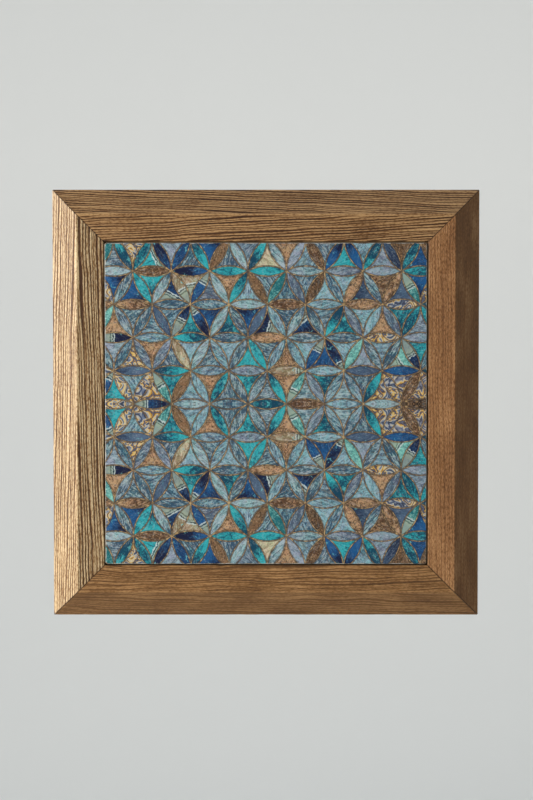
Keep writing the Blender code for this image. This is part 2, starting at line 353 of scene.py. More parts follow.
top_low, top_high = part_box("frame_rail_top")
stone_low, stone_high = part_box("stone_panel")
rail_width = top_high.z - top_low.z
land_width = rail_width - REBATE_WIDTH
rebate_front = -stone_high.y
inner_edge_depth = -stone_low.y - STONE_PROUD
ridge_depth = inner_edge_depth + RIDGE_RISE
centre = (cad_low + cad_high) / 2

# The section's corners: distance in from the outer edge, depth from the wall, and rounding. Between the
# last and the first, a short stretch of the back, the count of the girth falls back to 0.
corners = [
    (0, 0, EDGE_ROUNDING),
    (0, OUTER_SIDE_DEPTH, EDGE_ROUNDING),
    (OUTER_BEVEL_WIDTH, ridge_depth, RIDGE_ROUNDING),
    (rail_width, inner_edge_depth, EDGE_ROUNDING),
    (rail_width, rebate_front, 0),
    (land_width, rebate_front, 0),
    (land_width, 0, 0),
    (2 * EDGE_ROUNDING, 0, 0),
]
section = bpy.data.meshes.new("rail section")
section.from_pydata(
    [(inset, depth, 0) for inset, depth, _ in corners],
    [(corner, (corner + 1) % len(corners)) for corner in range(len(corners))],
    [],
)
rounding = section.attributes.new("rounding", "FLOAT", "POINT")
girth = section.attributes.new("girth", "FLOAT", "POINT")
travelled = 0.0
for number, (inset, depth, radius) in enumerate(corners):
    if number:
        travelled += (Vector((inset, depth)) - Vector(corners[number - 1][:2])).length
    rounding.data[number].value = radius
    girth.data[number].value = travelled
ridge_girth = girth.data[2].value

rails = Growth(
    "moulded rail",
    ["Half Length", "Setback", "Points Along", "Step Across", "Ridge Girth", "Relief", "Seed"]
    + ["Ring Spacing", "Lean", "Wave", "Turn", "Across", "Up"],
)
given = rails.given
outline = rails.step("MeshToCurve", Mesh=given["Geometry"])
rounded = rails.step(
    "FilletCurve",
    {"mode": "POLY"},
    Curve=outline,
    Count=ROUNDING_POINTS,
    Radius=rails.kept("rounding"),
    Limit_Radius=True,
)
profile = rails.step(
    "ResampleCurve", {"mode": "LENGTH"}, Curve=rounded, Length=given["Step Across"]
)
profile = rails.keep(profile, "section", rails.step("InputPosition"), "FLOAT_VECTOR")
line = rails.step("CurvePrimitiveLine", Start=(-1, 0, 0), End=(1, 0, 0))
line = rails.step("ResampleCurve", {"mode": "COUNT"}, Curve=line, Count=given["Points Along"])
line = rails.keep(line, "run", rails.split(rails.step("InputPosition"))[0])
rail = rails.step("CurveToMesh", Curve=line, Profile_Curve=profile, Fill_Caps=True)
inset, depth, _ = rails.split(rails.kept("section", "FLOAT_VECTOR"))
along = rails.kept("run") * (given["Half Length"] - inset - given["Setback"])
rail = rails.step(
    "SetPosition", Geometry=rail, Position=rails.vector(along, 0 - depth, 0 - inset)
)
rail = rails.keep(rail, "seam", given["Half Length"] - inset - abs(along))
across = rails.kept("girth") - given["Ridge Girth"]
rings = (given["Ring Spacing"], given["Lean"], given["Wave"])
hard = growth_rings(rails, along, across, given["Seed"], *rings)
rail = rails.keep(rail, "grain", rails.vector(along, across, hard), "FLOAT_VECTOR")
hard = rails.split(rails.kept("grain", "FLOAT_VECTOR"))[2]
wear = {0: rails.step("InputNormal"), "Scale": (hard - 1) * given["Relief"]}
worn = rails.node("ShaderNodeVectorMath", {"operation": "SCALE"}, wear)
rail = rails.step("SetPosition", Geometry=rail, Offset=worn)
rail = rails.step(
    "Transform",
    Geometry=rail,
    Rotation=rails.vector(0.0, given["Turn"], 0.0),
    Translation=rails.vector(given["Across"], 0.0, given["Up"]),
)
for passing in ("rounding", "girth", "section", "run"):
    rail = rails.step("RemoveAttribute", Geometry=rail, Name=passing)
rails.close(rail)

# Each rail's outward direction in X and Z, its stain from dark to light, the spacing, lean and wave of its
# growth rings, and how deep their soft wood is worn. Then how strongly the grain shows on its inner slope
# and on its outer bevel, how much painted shade darkens the slope for the way light falls on it from the
# left (painted light where the number is negative), how long the fibres are, and how much it is flecked
# and mottled.
RAILS = {
    "top": {
        "out": (0, 1),
        "tones": ((60, 35, 18), (119, 80, 44), (206, 163, 113)),
        "rings": (2.9 * MM, 0.06, 9 * MM),
        "relief": 0.22 * MM,
        "show": (1.0, 1.05, 0.0, 70 * MM, 1.0, 0.25),
    },
    "right": {
        "out": (1, 0),
        "tones": ((76, 46, 26), (139, 94, 55), (204, 154, 106)),
        "rings": (3.1 * MM, 0.015, 10 * MM),
        "relief": 0.08 * MM,
        # The third number paints light onto the inner slope, which faces the lamp on the left.
        "show": (0.18, 0.09, -0.06, 18 * MM, 5.2, 0.65),
    },
    "bottom": {
        "out": (0, -1),
        "tones": ((72, 45, 25), (134, 94, 53), (206, 158, 106)),
        "rings": (3.0 * MM, 0.02, 18 * MM),
        "relief": 0.12 * MM,
        "show": (0.5, 0.34, 0.0, 26 * MM, 1.0, 0.5),
    },
    "left": {
        "out": (-1, 0),
        "tones": ((76, 46, 25), (154, 117, 76), (238, 210, 166)),
        "rings": (3.2 * MM, 0.04, 8 * MM),
        "relief": 0.22 * MM,
        # The third number paints shade onto the inner slope, which faces away from the lamp on the left.
        "show": (1.0, 0.8, 0.06, 40 * MM, 1.4, 0.2),
    },
}
FIRST_SEED = 1.7
SEED_STEP = 5.3
half = (cad_high - cad_low) / 2
for quarter, (side, wood) in enumerate(RAILS.items()):
    out_x, out_z = wood["out"]
    spacing, lean, wave = wood["rings"]
    seed = FIRST_SEED + SEED_STEP * quarter
    finish = stained_ash("stained_ash_" + side, seed, wood["rings"], wood["tones"], *wood["show"])
    half_length = half.x if out_z else half.z
    sizes = {
        "Half Length": half_length,
        "Setback": MITRE_GAP / sqrt(2),
        "Points Along": round(2 * half_length / RAIL_STEP_ALONG),
        "Step Across": RAIL_STEP_ACROSS,
        "Ridge Girth": ridge_girth,
        "Relief": wood["relief"],
        "Seed": seed,
        "Ring Spacing": spacing,
        "Lean": lean,
        "Wave": wave,
        "Turn": quarter * pi / 2,
        "Across": centre.x + out_x * half.x,
        "Up": centre.z + out_z * half.z,
        "Finish": finish,
    }
    piece = rails.grow("frame_rail_" + side + "_moulding", section, sizes)
    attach(piece, "root")
    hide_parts("frame_rail_" + side)

# The stone: one square tile of honed travertine, 33 cm wide and 1 cm thick, with the pattern printed on its
# face in hard satin ink. The print ends at the worn arris, where the pale raw stone shows. It is glued to
# the board behind it, and an open joint is left between it and the frame.
STONE_CORNER_RADIUS = 2.0 * MM
STONE_ARRIS = 0.7 * MM
ARRIS_STEPS = 3
CORNER_STEPS = 4
OUTLINE_STEP = 1.5 * MM
CHIP_SIZE = 0.7 * MM
CHIP_SPACING = 7 * MM
CHIP_LEVEL = 0.12  # of the noise, past which the stone is chipped
SMALL_CHIPS = 3.1  # times as close together
SMALL_CHIP_LEVEL = 0.25
SIDE_CHIPPING = 0.35  # how much of a chip is left at the side, where the arris starts
CIRCLE_SPACING = 39.3 * MM  # from one knot to the next, and the radius of the circles
PATTERN_SHIFT = 1.3 * MM  # of the pattern to the right
KNOTS_BEFORE = 20  # more than lie left of the middle, so that counts stay positive
LINE_WIDTH = 1.3 * MM
DARK_SIDES = (0.45 * LINE_WIDTH, 1.1 * LINE_WIDTH)  # from a line's middle, where they fade
COPPER_CORE = (0.20 * LINE_WIDTH, 0.50 * LINE_WIDTH)
WOBBLE = 0.5 * MM
WOBBLE_SPACING = 7 * MM


def as_mesh(mesh, name):
    data = bpy.data.meshes.new(name)
    mesh.to_mesh(data)
    mesh.free()
    return data


def tile_outline(inset, half_width, half_height, radius):
    """Points round a square with rounded corners, a small step apart, with their inward directions."""
    points = []
    for quarter in range(4):
        turn = quarter * pi / 2
        reach_x, reach_z = (half_width, half_height) if quarter % 2 == 0 else (half_height, half_width)
        corner = Vector((reach_x - radius, reach_z - radius))
        local = []
        for step in range(CORNER_STEPS):
            angle = pi / 2 * step / CORNER_STEPS
            out = Vector((cos(angle), sin(angle)))
            local.append((corner + out * radius, -out))
        flat = 2 * (reach_x - radius)
        count = round(flat / OUTLINE_STEP)
        for step in range(count):
            local.append((corner + Vector((-flat * step / count, radius)), Vector((0, -1))))
        for place, inward in local:
            turned = [
                Vector((v.x * cos(turn) - v.y * sin(turn), v.x * sin(turn) + v.y * cos(turn)))
                for v in (place, inward)
            ]
            points.append((turned[0] + turned[1] * inset, turned[1]))
    return points


def tile_mesh():
    """The tile's rings from back to front, with small chips out of the front arris."""
    half_width = (stone_high.x - stone_low.x) / 2
    half_height = (stone_high.z - stone_low.z) / 2
    rings = [(STONE_ARRIS / 2, stone_high.y, 0), (0, stone_high.y - STONE_ARRIS / 2, 0)]
    for step in range(ARRIS_STEPS + 1):
        angle = pi / 2 * step / ARRIS_STEPS
        depth = stone_low.y + STONE_ARRIS * (1 - sin(angle))
        chipped = SIDE_CHIPPING + (1 - SIDE_CHIPPING) * step / ARRIS_STEPS
        rings.append((STONE_ARRIS * (1 - cos(angle)), depth, chipped))
    mesh = bmesh.new()
    loops = []
    for inset, depth, chipped in rings:
        loop = []
        for place, inward in tile_outline(inset, half_width, half_height, STONE_CORNER_RADIUS):
            spot = Vector((place.x, place.y, 0)) / CHIP_SPACING
            large = max(0.0, noise.noise(spot) - CHIP_LEVEL)
            small = max(0.0, noise.noise(spot * SMALL_CHIPS) - SMALL_CHIP_LEVEL)
            moved = place + inward * min(large + small, 1.0) * CHIP_SIZE * chipped
            loop.append(mesh.verts.new((moved.x + stone_mid.x, depth, moved.y + stone_mid.z)))
        loops.append(loop)
    for low, high in zip(loops, loops[1:]):
        for number in range(len(low)):
            after = (number + 1) % len(low)
            face = mesh.faces.new((low[number], low[after], high[after], high[number]))
            face.smooth = True
    mesh.faces.new(loops[0])
    mesh.faces.new(loops[-1])
    bmesh.ops.recalc_face_normals(mesh, faces=mesh.faces)
    return as_mesh(mesh, "stone_tile")


# The seeds of the draws that say which kind each printed stone is and how its marks lie in it.
KIND_SEED = 61.0
MARK_SEED = 57.0

# The kinds late in the list come up more often near the edges. How far out a stone lies counts by its place
# sideways and upwards. The draw is squeezed towards the list's end, in the middle and at the edge.
OUT_SIDEWAYS = 0.75
OUT_UPWARDS = 0.35
FAR_OUT = (0.45, 1.0)  # from the middle's kinds to the edge's
TRIANGLE_SQUEEZE = (1.25, 0.70)
PETAL_SQUEEZE = (1.0, 0.66)

# How large the marks in the printed stones are, and how strongly they change the tone between a stone's
# dark and light.
STREAK_LENGTH = 8 * MM
STREAK_WIDTH = 2.0 * MM
STREAK_TONE = 2.2
BLUR = 4.5 * MM
BLUR_TONE = 2.2
GRIT = 1.9 * MM
GRIT_TONE = 1.9
SHADING = 12 * MM
SHADING_TONE = 1.4
STONE_TONE = 0.9  # of one stone against another of its kind
RULING = 0.42 * MM
RULING_TONE = 0.22
RULED_STONES = 0.74  # in the draw, past which a stone is ruled
SPECKLE = 1.7 * MM
TINGE_LENGTH = 7 * MM
TINGE_WIDTH = 2.6 * MM
CAST = 8 * MM
GREEN_CAST = (0.70, 0.96, 0.94, 1.0)
ROSE_CAST = (0.98, 0.89, 1.0, 1.0)

# The banded agate, the gold marble and the copper outlines.
AGATE_KINDS = 0.84  # in the draw of the kinds, past which a stone can be banded
AGATE_STONES = 0.40
AGATE_WIDTH = 10 * MM
AGATE_SCATTER = 14 * MM
AGATE_WAVE = 5 * MM
AGATE_EDGE = 0.25 * MM
GOLD_FROM = 115 * MM  # from the middle to the sides
GOLD_ROW = 26 * MM  # from the middle row up or down
GOLD_STONES = 0.96
GOLD_ROW_BONUS = 0.36
SWIRL = 15 * MM
SWIRL_FOLDS = 6
SHEEN = 3.2 * MM

# The worn edge of the print and the raw stone.
WORN_WAVE = 3.2 * MM
WORN_SPACING = 5 * MM
WORN_EDGE = 0.35 * MM
PRINT_DEPTH = (0.25 * MM, 0.5 * MM)
RAW_CLOUD = 12 * MM
PIT = 2.2 * MM

# What the printed stones look like: their share of the pattern, their dark and light tone, the colour of
# their flecks, and how much they are streaked, flecked, shaded from one end to the other, and clouded.
STONES = [
    (0.27, (50, 88, 114), (160, 200, 212), (116, 94, 72), 1.0, 0.7, 0.3, 0.8),
    (0.19, (58, 94, 118), (176, 202, 208), (104, 84, 66), 1.2, 0.7, 0.3, 0.8),
    (0.11, (84, 102, 126), (166, 182, 198), (92, 82, 78), 0.9, 0.7, 0.4, 0.9),
    (0.04, (32, 50, 82), (88, 112, 142), (34, 44, 62), 0.4, 0.2, 0.7, 0.3),
    (0.08, (98, 68, 46), (210, 166, 126), (54, 36, 26), 0.4, 0.9, 0.4, 1.6),
    (0.02, (48, 34, 26), (148, 112, 80), (180, 138, 98), 0.3, 0.9, 0.3, 1.1),
    (0.13, (0, 72, 100), (50, 186, 196), (4, 48, 74), 0.4, 0.4, 1.3, 1.3),
    (0.03, (22, 116, 124), (158, 230, 216), (14, 80, 92), 0.5, 0.4, 0.9, 1.1),
    (0.02, (150, 124, 94), (232, 216, 180), (132, 96, 64), 0.8, 0.5, 0.5, 0.5),
    (0.11, (3, 18, 60), (24, 94, 154), (4, 8, 30), 0.2, 0.2, 1.5, 0.6),
]


def printed_travertine():
    """Raw travertine on the sides and the arris, and the printed lattice of stones on the face."""
    made, tree = start_finish("printed_travertine")
    place = tree.node("ShaderNodeTexCoord", output="Object")
    x, y, z = tree.split(place)
    row_height = CIRCLE_SPACING * sqrt(3) / 2

    # The pattern is mirrored at the middle height of the tile. Its lines wander a little.
    across = x - (stone_mid.x + PATTERN_SHIFT)
    up = abs(z - stone_mid.z)
    wander = tree.noise(tree.vector(across, up, 0.0), 1 / WOBBLE_SPACING, 1)
    wander_x, wander_y, _ = tree.split(wander["Color"])
    across = across + (wander_x - 0.5) * WOBBLE
    up = up + (wander_y - 0.5) * WOBBLE * (up / WOBBLE).least(1.0)

    # Which triangle between three knots a point is in, and its place there. Knots lie half a step aside
    # in the middle row. A triangle that points down is turned half round, to read as one that points up.
    v = up / row_height
    u = across / CIRCLE_SPACING - 0.5 - v * 0.5 + KNOTS_BEFORE
    u_floor = u.floor()
    v_floor = v.floor()
    u_part = u - u_floor
    v_part = v - v_floor
    turned = (u_part + v_part) > 1.0
    p = turned.choose(u_part, 1 - u_part)
    q = turned.choose(v_part, 1 - v_part)
    spot = tree.vector((p + q * 0.5) * CIRCLE_SPACING, q * row_height, 0.0)

    def from_knot(steps_p, steps_q):
        """The distance to a knot, less the circles' radius."""
        knot = ((steps_p + steps_q / 2) * CIRCLE_SPACING, steps_q * row_height, 0.0)
        apart = tree.node("ShaderNodeVectorMath", {"operation": "DISTANCE"}, {0: spot, 1: knot}, "Value")
        return apart - CIRCLE_SPACING

    petal_far = from_knot(1, 1)
    petal_left = from_knot(-1, 1)
    petal_low = from_knot(1, -1)
    line = abs(petal_far).least(abs(petal_left)).least(abs(petal_low))
    for steps in ((0, 0), (1, 0), (0, 1)):
        line = line.least(abs(from_knot(*steps)))
    in_far = petal_far < 0.0
    in_left = petal_left < 0.0
    in_low = petal_low < 0.0
    petal = in_far.most(in_left).most(in_low)

    # The stone's own number, counted in sixths of a step, and its middle.
    six_p = in_low.choose(in_left.choose(in_far.choose(2.0, 3.0), 0.0), 3.0)
    six_q = in_low.choose(in_left.choose(in_far.choose(2.0, 3.0), 3.0), 0.0)
    six_u = u_floor * 6 + turned.choose(six_p, 6 - six_p)
    six_v = v_floor * 6 + turned.choose(six_q, 6 - six_q)
    middle_x = (six_u / 6 + six_v / 12 - KNOTS_BEFORE + 0.5) * CIRCLE_SPACING
    middle_z = six_v / 6 * row_height

    def draws(seed):
        """Three random numbers for each stone."""
        drawn = tree.node("ShaderNodeTexWhiteNoise", None, {"Vector": tree.vector(six_u, six_v, seed)})
        return tree.split(drawn["Color"])

    kind, spin, shade = draws(KIND_SEED)
    scatter, lot, chance = draws(MARK_SEED)

    # Brown, teal and navy stones are commoner towards the sides and the corners, and the triangles in the
    # middle are mostly grey and blue.
    half_width = (stone_high.x - stone_low.x) / 2
    out_x = abs(middle_x) / half_width
    out_z = middle_z / half_width
    edge = (out_x * OUT_SIDEWAYS + out_z * OUT_UPWARDS).rise(*FAR_OUT)
    squeeze = petal.choose(edge.choose(*TRIANGLE_SQUEEZE), edge.choose(*PETAL_SQUEEZE))
    kind = (1 - (1 - kind) * squeeze).most(0.001)

    # The stones' own frame: one axis along a petal, or at random in a triangle.
    petal_angle = in_low.choose(in_left.choose(in_far.choose(spin * tau, 2 * pi / 3), pi / 3), 0.0)
    local = tree.vector(across - middle_x, up - middle_z, 0.0)

    def turned_back(angle):
        """Where a point lies in its stone, along a direction at this angle and aside of it."""
        values = {"Vector": local, "Angle": 0 - angle}
        return tree.split(tree.node("ShaderNodeVectorRotate", {"rotation_type": "Z_AXIS"}, values))

    along = turned_back(petal_angle)[0]
    vein_angle = petal.choose(spin * tau, petal_angle + (spin - 0.5) * 0.9)
    vein_along, vein_aside, _ = turned_back(vein_angle)

    # Each stone's kind, as ramps with hard steps.
    darks, lights, flecks, habits = [], [], [], []
    reached = 0.0
    for share, dark, light, fleck, streaked, flecked, shaded, clouded in STONES:
        darks.append((reached, paint(*dark)))
        lights.append((reached, paint(*light)))
        flecks.append((reached, paint(*fleck)))
        habits.append((reached, (streaked, flecked, shaded, clouded)))
        reached += share
    dark = tree.ramp(kind, darks, "CONSTANT")
    light = tree.ramp(kind, lights, "CONSTANT")
    fleck = tree.ramp(kind, flecks, "CONSTANT")
    habit = tree.ramp(kind, habits, "CONSTANT")
    streaked, flecked, shaded = tree.split(habit["Color"])
    clouded = habit["Alpha"]

    # Streaks, blurs and grit between a stone's two tones. Some stones are shaded or ruled with fine lines.
    apart = scatter * 40
    streak_place = tree.vector(vein_along / STREAK_LENGTH, vein_aside / STREAK_WIDTH, apart)
    streak = tree.noise(streak_place, 1, 3, 0.6, 0.8)
    blur = tree.noise(tree.vector(vein_along, vein_aside, apart * MM), 1 / BLUR, 3, 0.6, 0.8)
    grit_place = tree.vector(across, up, apart * MM)
    grit = tree.noise(grit_place, 1 / GRIT, 3, 0.7)
    ruled = (vein_aside / RULING + blur * 7).sine()
    tone = 0.5 + (streak - 0.5) * streaked * STREAK_TONE + (blur - 0.5) * clouded * BLUR_TONE
    tone = tone + (along / SHADING) * shaded * (lot - 0.5) * SHADING_TONE + (grit - 0.5) * GRIT_TONE
    tone = tone + (shade - 0.5) * STONE_TONE + ruled * (chance > RULED_STONES) * streaked * RULING_TONE
    colour = tree.mix(tone.least(1.0).most(0.0), dark, light)

    # Flecks and tinges of the kind's third colour, and a green or rose cast over the streaked kinds.
    speckle = tree.noise(grit_place, 1 / SPECKLE, 1)
    colour = tree.mix(speckle.rise(0.58, 0.68) * flecked * 0.85, colour, fleck)
    tinge_place = tree.vector(vein_along / TINGE_LENGTH, vein_aside / TINGE_WIDTH, apart + 7)
    tinge = tree.noise(tinge_place, 1, 2, 0.6, 0.5)
    colour = tree.mix(tinge.rise(0.52, 0.68) * streaked.least(1.0) * 0.42, colour, fleck)
    cast = tree.noise(tree.vector(across, up, 0.01), 1 / CAST, 3, 0.6, 0.5)
    casts = tree.ramp(cast, [(0.36, GREEN_CAST), (0.64, ROSE_CAST)])
    colour = tree.mix(streaked.least(1.0) * 0.9, colour, tree.mix(1.0, colour, casts, "MULTIPLY"))

    # Thin dark veins, thin pale ones, and pale spots on the kinds that are strongly shaded.
    vein = (1 - abs(streak - 0.40).rise(0.015, 0.05)) * speckle.rise(0.38, 0.52) * streaked
    colour = tree.mix(vein * 0.20, colour, paint(60, 50, 50))
    glint = (1 - abs(streak - 0.60).rise(0.01, 0.06)) * speckle.rise(0.36, 0.50) * streaked
    colour = tree.mix(glint * 0.50, colour, paint(206, 214, 214))
    pale_spot = blur.rise(0.60, 0.72) * (shaded > 0.45) * 0.8
    colour = tree.mix(pale_spot, colour, paint(122, 204, 208))

    # Banded agate: past a white, a dark and a green band, some stones of the last kinds turn pale.
    pale_end = (lot > 0.5).choose(-1.0, 1.0)
    band = along * pale_end + (scatter - 0.7) * AGATE_SCATTER + (blur - 0.5) * AGATE_WAVE
    banded = (kind > AGATE_KINDS) * (chance > AGATE_STONES) * band.rise(0.0, AGATE_EDGE)
    agate = tree.ramp(
        band / AGATE_WIDTH,
        [
            (0.0, paint(212, 226, 226)), (0.12, paint(206, 222, 222)), (0.17, paint(26, 52, 66)),
            (0.24, paint(34, 62, 70)), (0.30, paint(196, 212, 202)), (0.42, paint(146, 164, 150)),
            (0.50, paint(60, 84, 78)), (0.58, paint(172, 186, 166)), (1.0, paint(150, 166, 160)),
        ],
    )
    colour = tree.mix(banded * (0.86 + (grit - 0.5) * 1.1), colour, agate)

    # Swirled gold marble: some stones near the sides, and most often those next to the middle row.
    gold_chance = lot + (middle_z < GOLD_ROW) * GOLD_ROW_BONUS
    gilded = (gold_chance > GOLD_STONES) * (abs(middle_x) > GOLD_FROM)
    swirl = tree.noise(tree.vector(across, up, 0.0), 1 / SWIRL, 2, 0.45, 1.5)
    folds = tree.ramp(
        (swirl * SWIRL_FOLDS).fold(),
        [
            (0.0, paint(44, 34, 40)), (0.10, paint(78, 90, 120)), (0.28, paint(128, 142, 168)),
            (0.46, paint(214, 206, 190)), (0.60, paint(240, 204, 118)), (0.74, paint(206, 154, 70)),
            (0.82, paint(70, 46, 42)), (1.0, paint(104, 116, 146)),
        ],
    )
    colour = tree.mix(gilded * 0.9, colour, folds)

    # Copper outlines of uneven sheen, with dark sides.
    sheen = tree.noise(tree.vector(across, up, 0.02), 1 / SHEEN, 3, 0.6)
    copper = tree.ramp(
        sheen, [(0.36, paint(88, 70, 54)), (0.5, paint(138, 111, 80)), (0.64, paint(222, 184, 126))]
    )
    rim = 1 - line.rise(*DARK_SIDES)
    core = 1 - line.rise(*COPPER_CORE)
    colour = tree.mix(rim * 0.72, colour, paint(48, 44, 46))
    colour = tree.mix(core * 0.85, colour, copper)

    # The print stops at the worn arris: raw travertine on the sides, back and chips.
    reach_x = half_width - abs(x - stone_mid.x)
    reach_z = (stone_high.z - stone_low.z) / 2 - abs(z - stone_mid.z)
    border = reach_x.least(reach_z)
    nibble = tree.noise(place, 1 / WORN_SPACING, 3, 0.6)
    bare = 1 - (border - (nibble - 0.42) * WORN_WAVE).rise(0.0, WORN_EDGE)
    bare = bare.most((y - stone_low.y).rise(*PRINT_DEPTH))
    raw = tree.noise(place, 1 / RAW_CLOUD, 4, 0.65)
    pit = tree.noise(place, 1 / PIT, 2, 0.5).rise(0.60, 0.70)
    travertine = tree.ramp(raw, [(0.3, paint(168, 160, 148)), (0.7, paint(214, 210, 202))])
    travertine = tree.mix(pit * 0.6, travertine, paint(120, 104, 84))
    colour = tree.mix(bare, colour, travertine)
    roughness = bare.choose(0.44 + (grit - 0.5) * 0.2, 0.75)
    height = grit * 0.04 - pit * bare * 0.25
    close_finish(tree, colour, roughness, height, 1 * MM, specular=0.4)
    return made


stone_mid = (stone_low + stone_high) / 2
tile = show("stone_tile", tile_mesh())
tile.data.materials.append(printed_travertine())
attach(tile, "root")
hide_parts("stone_panel")

# The backing board: one sawn piece of medium density fibreboard that closes the rebate and carries the
# stone and the hanger. Its faces are sanded smooth and its sawn edges are darker and rougher.
BOARD_FIBRE = 1.3 * MM
BOARD_CLOUD = 45 * MM
CHAFF = 3.5 * MM
CHAFF_LENGTH = 1.8  # times its width
SAWN_EDGE = 1.2 * MM
board_low, board_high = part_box("backing_board")


def raw_fibreboard():
    """Sanded fibreboard: even tan, with short pressed fibres and a few dark flecks."""
    made, tree = start_finish("raw_fibreboard")
    place = tree.node("ShaderNodeTexCoord", output="Object")
    x, y, z = tree.split(place)
    fibre = tree.noise(place, 1 / BOARD_FIBRE, 4, 0.7, 0.6)
    cloud = tree.noise(place, 1 / BOARD_CLOUD, 3, 0.55)
    chaff = tree.noise(tree.vector(x * CHAFF_LENGTH, y, z), 1 / CHAFF, 2).rise(0.66, 0.76)
    reach = ((board_high.x - board_low.x) / 2 - abs(x - stone_mid.x)).least(
        (board_high.z - board_low.z) / 2 - abs(z - stone_mid.z)
    )
    sawn = 1 - reach.rise(0.0, SAWN_EDGE)
    colour = tree.ramp(
        fibre * 0.7 + cloud * 0.3, [(0.36, paint(150, 118, 84)), (0.64, paint(196, 164, 124))]
    )
    colour = tree.mix(chaff * 0.5, colour, paint(112, 82, 56))
    colour = tree.mix(sawn * 0.6, colour, paint(118, 88, 60))
    close_finish(tree, colour, 0.78 + sawn * 0.15, fibre * 0.08, 1 * MM)
    return made


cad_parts["backing_board"].data.materials.clear()
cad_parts["backing_board"].data.materials.append(raw_fibreboard())

# The framer's points: eight flat steel points, two to a rail, driven into the rebate's wall from inside so
# that their free ends lie over the board and hold it.
PIN_WIDTH = 6 * MM
PIN_EXPOSED = 12 * MM
PIN_POINT = 3 * MM
PIN_TIP_WIDTH = 2 * MM
PIN_EASING = 0.15 * MM
ZINC_CLOUD = 6 * MM
SCRATCH_LENGTH = 9 * MM
SCRATCH_DEPTH = 1 * MM
SCRATCH_WIDTH = 0.16 * MM


def zinc_steel():
    """Bright zinc on rolled steel, with fine scratches and a faint cloudy passivation."""
    made, tree = start_finish("zinc_steel")
    place = tree.node("ShaderNodeTexCoord", output="Object")
    x, y, z = tree.split(place)
    cloud = tree.noise(place, 1 / ZINC_CLOUD, 3, 0.6)
    scratch_place = tree.vector(x / SCRATCH_LENGTH, y / SCRATCH_DEPTH, z / SCRATCH_WIDTH)
    scratch = tree.noise(scratch_place, 1, 2, 0.6)
    colour = tree.ramp(cloud, [(0.35, paint(176, 176, 172)), (0.65, paint(212, 210, 198))])
    colour = tree.mix(scratch.rise(0.55, 0.75) * 0.35, colour, paint(130, 130, 128))
    roughness = 0.28 + cloud * 0.16 + scratch * 0.12
    close_finish(tree, colour, roughness, scratch * 0.02, 1 * MM, metallic=1.0)
    return made


def prism(outline, direction, easing):
    """Pulls a flat outline along a direction and eases the edges."""
    mesh = bmesh.new()
    face = mesh.faces.new([mesh.verts.new(point) for point in outline])
    pulled = bmesh.ops.extrude_face_region(mesh, geom=[face])
    moved = [item for item in pulled["geom"] if isinstance(item, bmesh.types.BMVert)]
    bmesh.ops.translate(mesh, vec=direction, verts=moved)
    bmesh.ops.recalc_face_normals(mesh, faces=mesh.faces)
    bmesh.ops.bevel(mesh, geom=mesh.edges, offset=easing, segments=2, profile=0.5, affect="EDGES")
    return mesh


steel = zinc_steel()
first_low, first_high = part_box("board_pin_1")
pin_reach = first_high.z - (top_high.z - land_width)  # the length driven into the rail
pin_half, tip_half = PIN_WIDTH / 2, PIN_TIP_WIDTH / 2
blade = prism(
    [
        (-pin_half, first_high.y, -PIN_EXPOSED),
        (pin_half, first_high.y, -PIN_EXPOSED),
        (pin_half, first_high.y, pin_reach - PIN_POINT),
        (tip_half, first_high.y, pin_reach),
        (-tip_half, first_high.y, pin_reach),
        (-pin_half, first_high.y, pin_reach - PIN_POINT),
    ],
    (0, first_low.y - first_high.y, 0),
    PIN_EASING,
)
pins = Growth("pins in the rebate", ["Pin Spacing", "Rebate Reach", "Centre X", "Centre Z"])
given = pins.given
pair = pins.step("MeshLine", {"mode": "END_POINTS", "count_mode": "TOTAL"}, Count=2)
turn = pins.step("InputIndex")
spots = pins.step(
    "SetPosition",
    Geometry=pair,
    Position=pins.vector((turn - 0.5) * given["Pin Spacing"], 0.0, given["Rebate Reach"]),
)
both = pins.step("InstanceOnPoints", Points=spots, Instance=given["Geometry"])
ring = pins.step("MeshLine", {"mode": "OFFSET"}, Count=4, Offset=(0, 0, 0))
every = pins.step(
    "InstanceOnPoints",
    Points=ring,
    Instance=both,
    Rotation=pins.vector(0.0, turn * (pi / 2), 0.0),
)
placed = pins.step(
    "Transform", Geometry=every, Translation=pins.vector(given["Centre X"], 0.0, given["Centre Z"])
)
pins.close(placed)
second_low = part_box("board_pin_2")[0]
points = pins.grow(
    "board_points",
    as_mesh(blade, "blade"),
    {
        "Pin Spacing": second_low.x - first_low.x,
        "Rebate Reach": top_high.z - land_width - centre.z,
        "Centre X": centre.x,
        "Centre Z": centre.z,
        "Finish": steel,
    },
)
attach(points, "root")
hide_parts(*[f"board_pin_{number}" for number in range(1, 9)])

# The hanger: a strip of zinc-plated steel whose middle stands off the board and whose lower edge is
# toothed, so that the panel can be levelled on one nail. It is punched and bent from sheet.
HANGER_THICKNESS = 1.0 * MM
HANGER_TAB = 12 * MM
HANGER_RAMP = 4 * MM
CLIPPED_CORNER = 2 * MM
TOOTH_PITCH = 3 * MM
TOOTH_DEPTH = 1.6 * MM
TOOTH_MARGIN = 0.2 * MM
HANGER_EASING = 0.14 * MM
SHARP_EDGE = radians(40)  # from which an edge is eased
hanger_low, hanger_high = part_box("hanger")
screw_low, screw_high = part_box("hanger_screw_right")


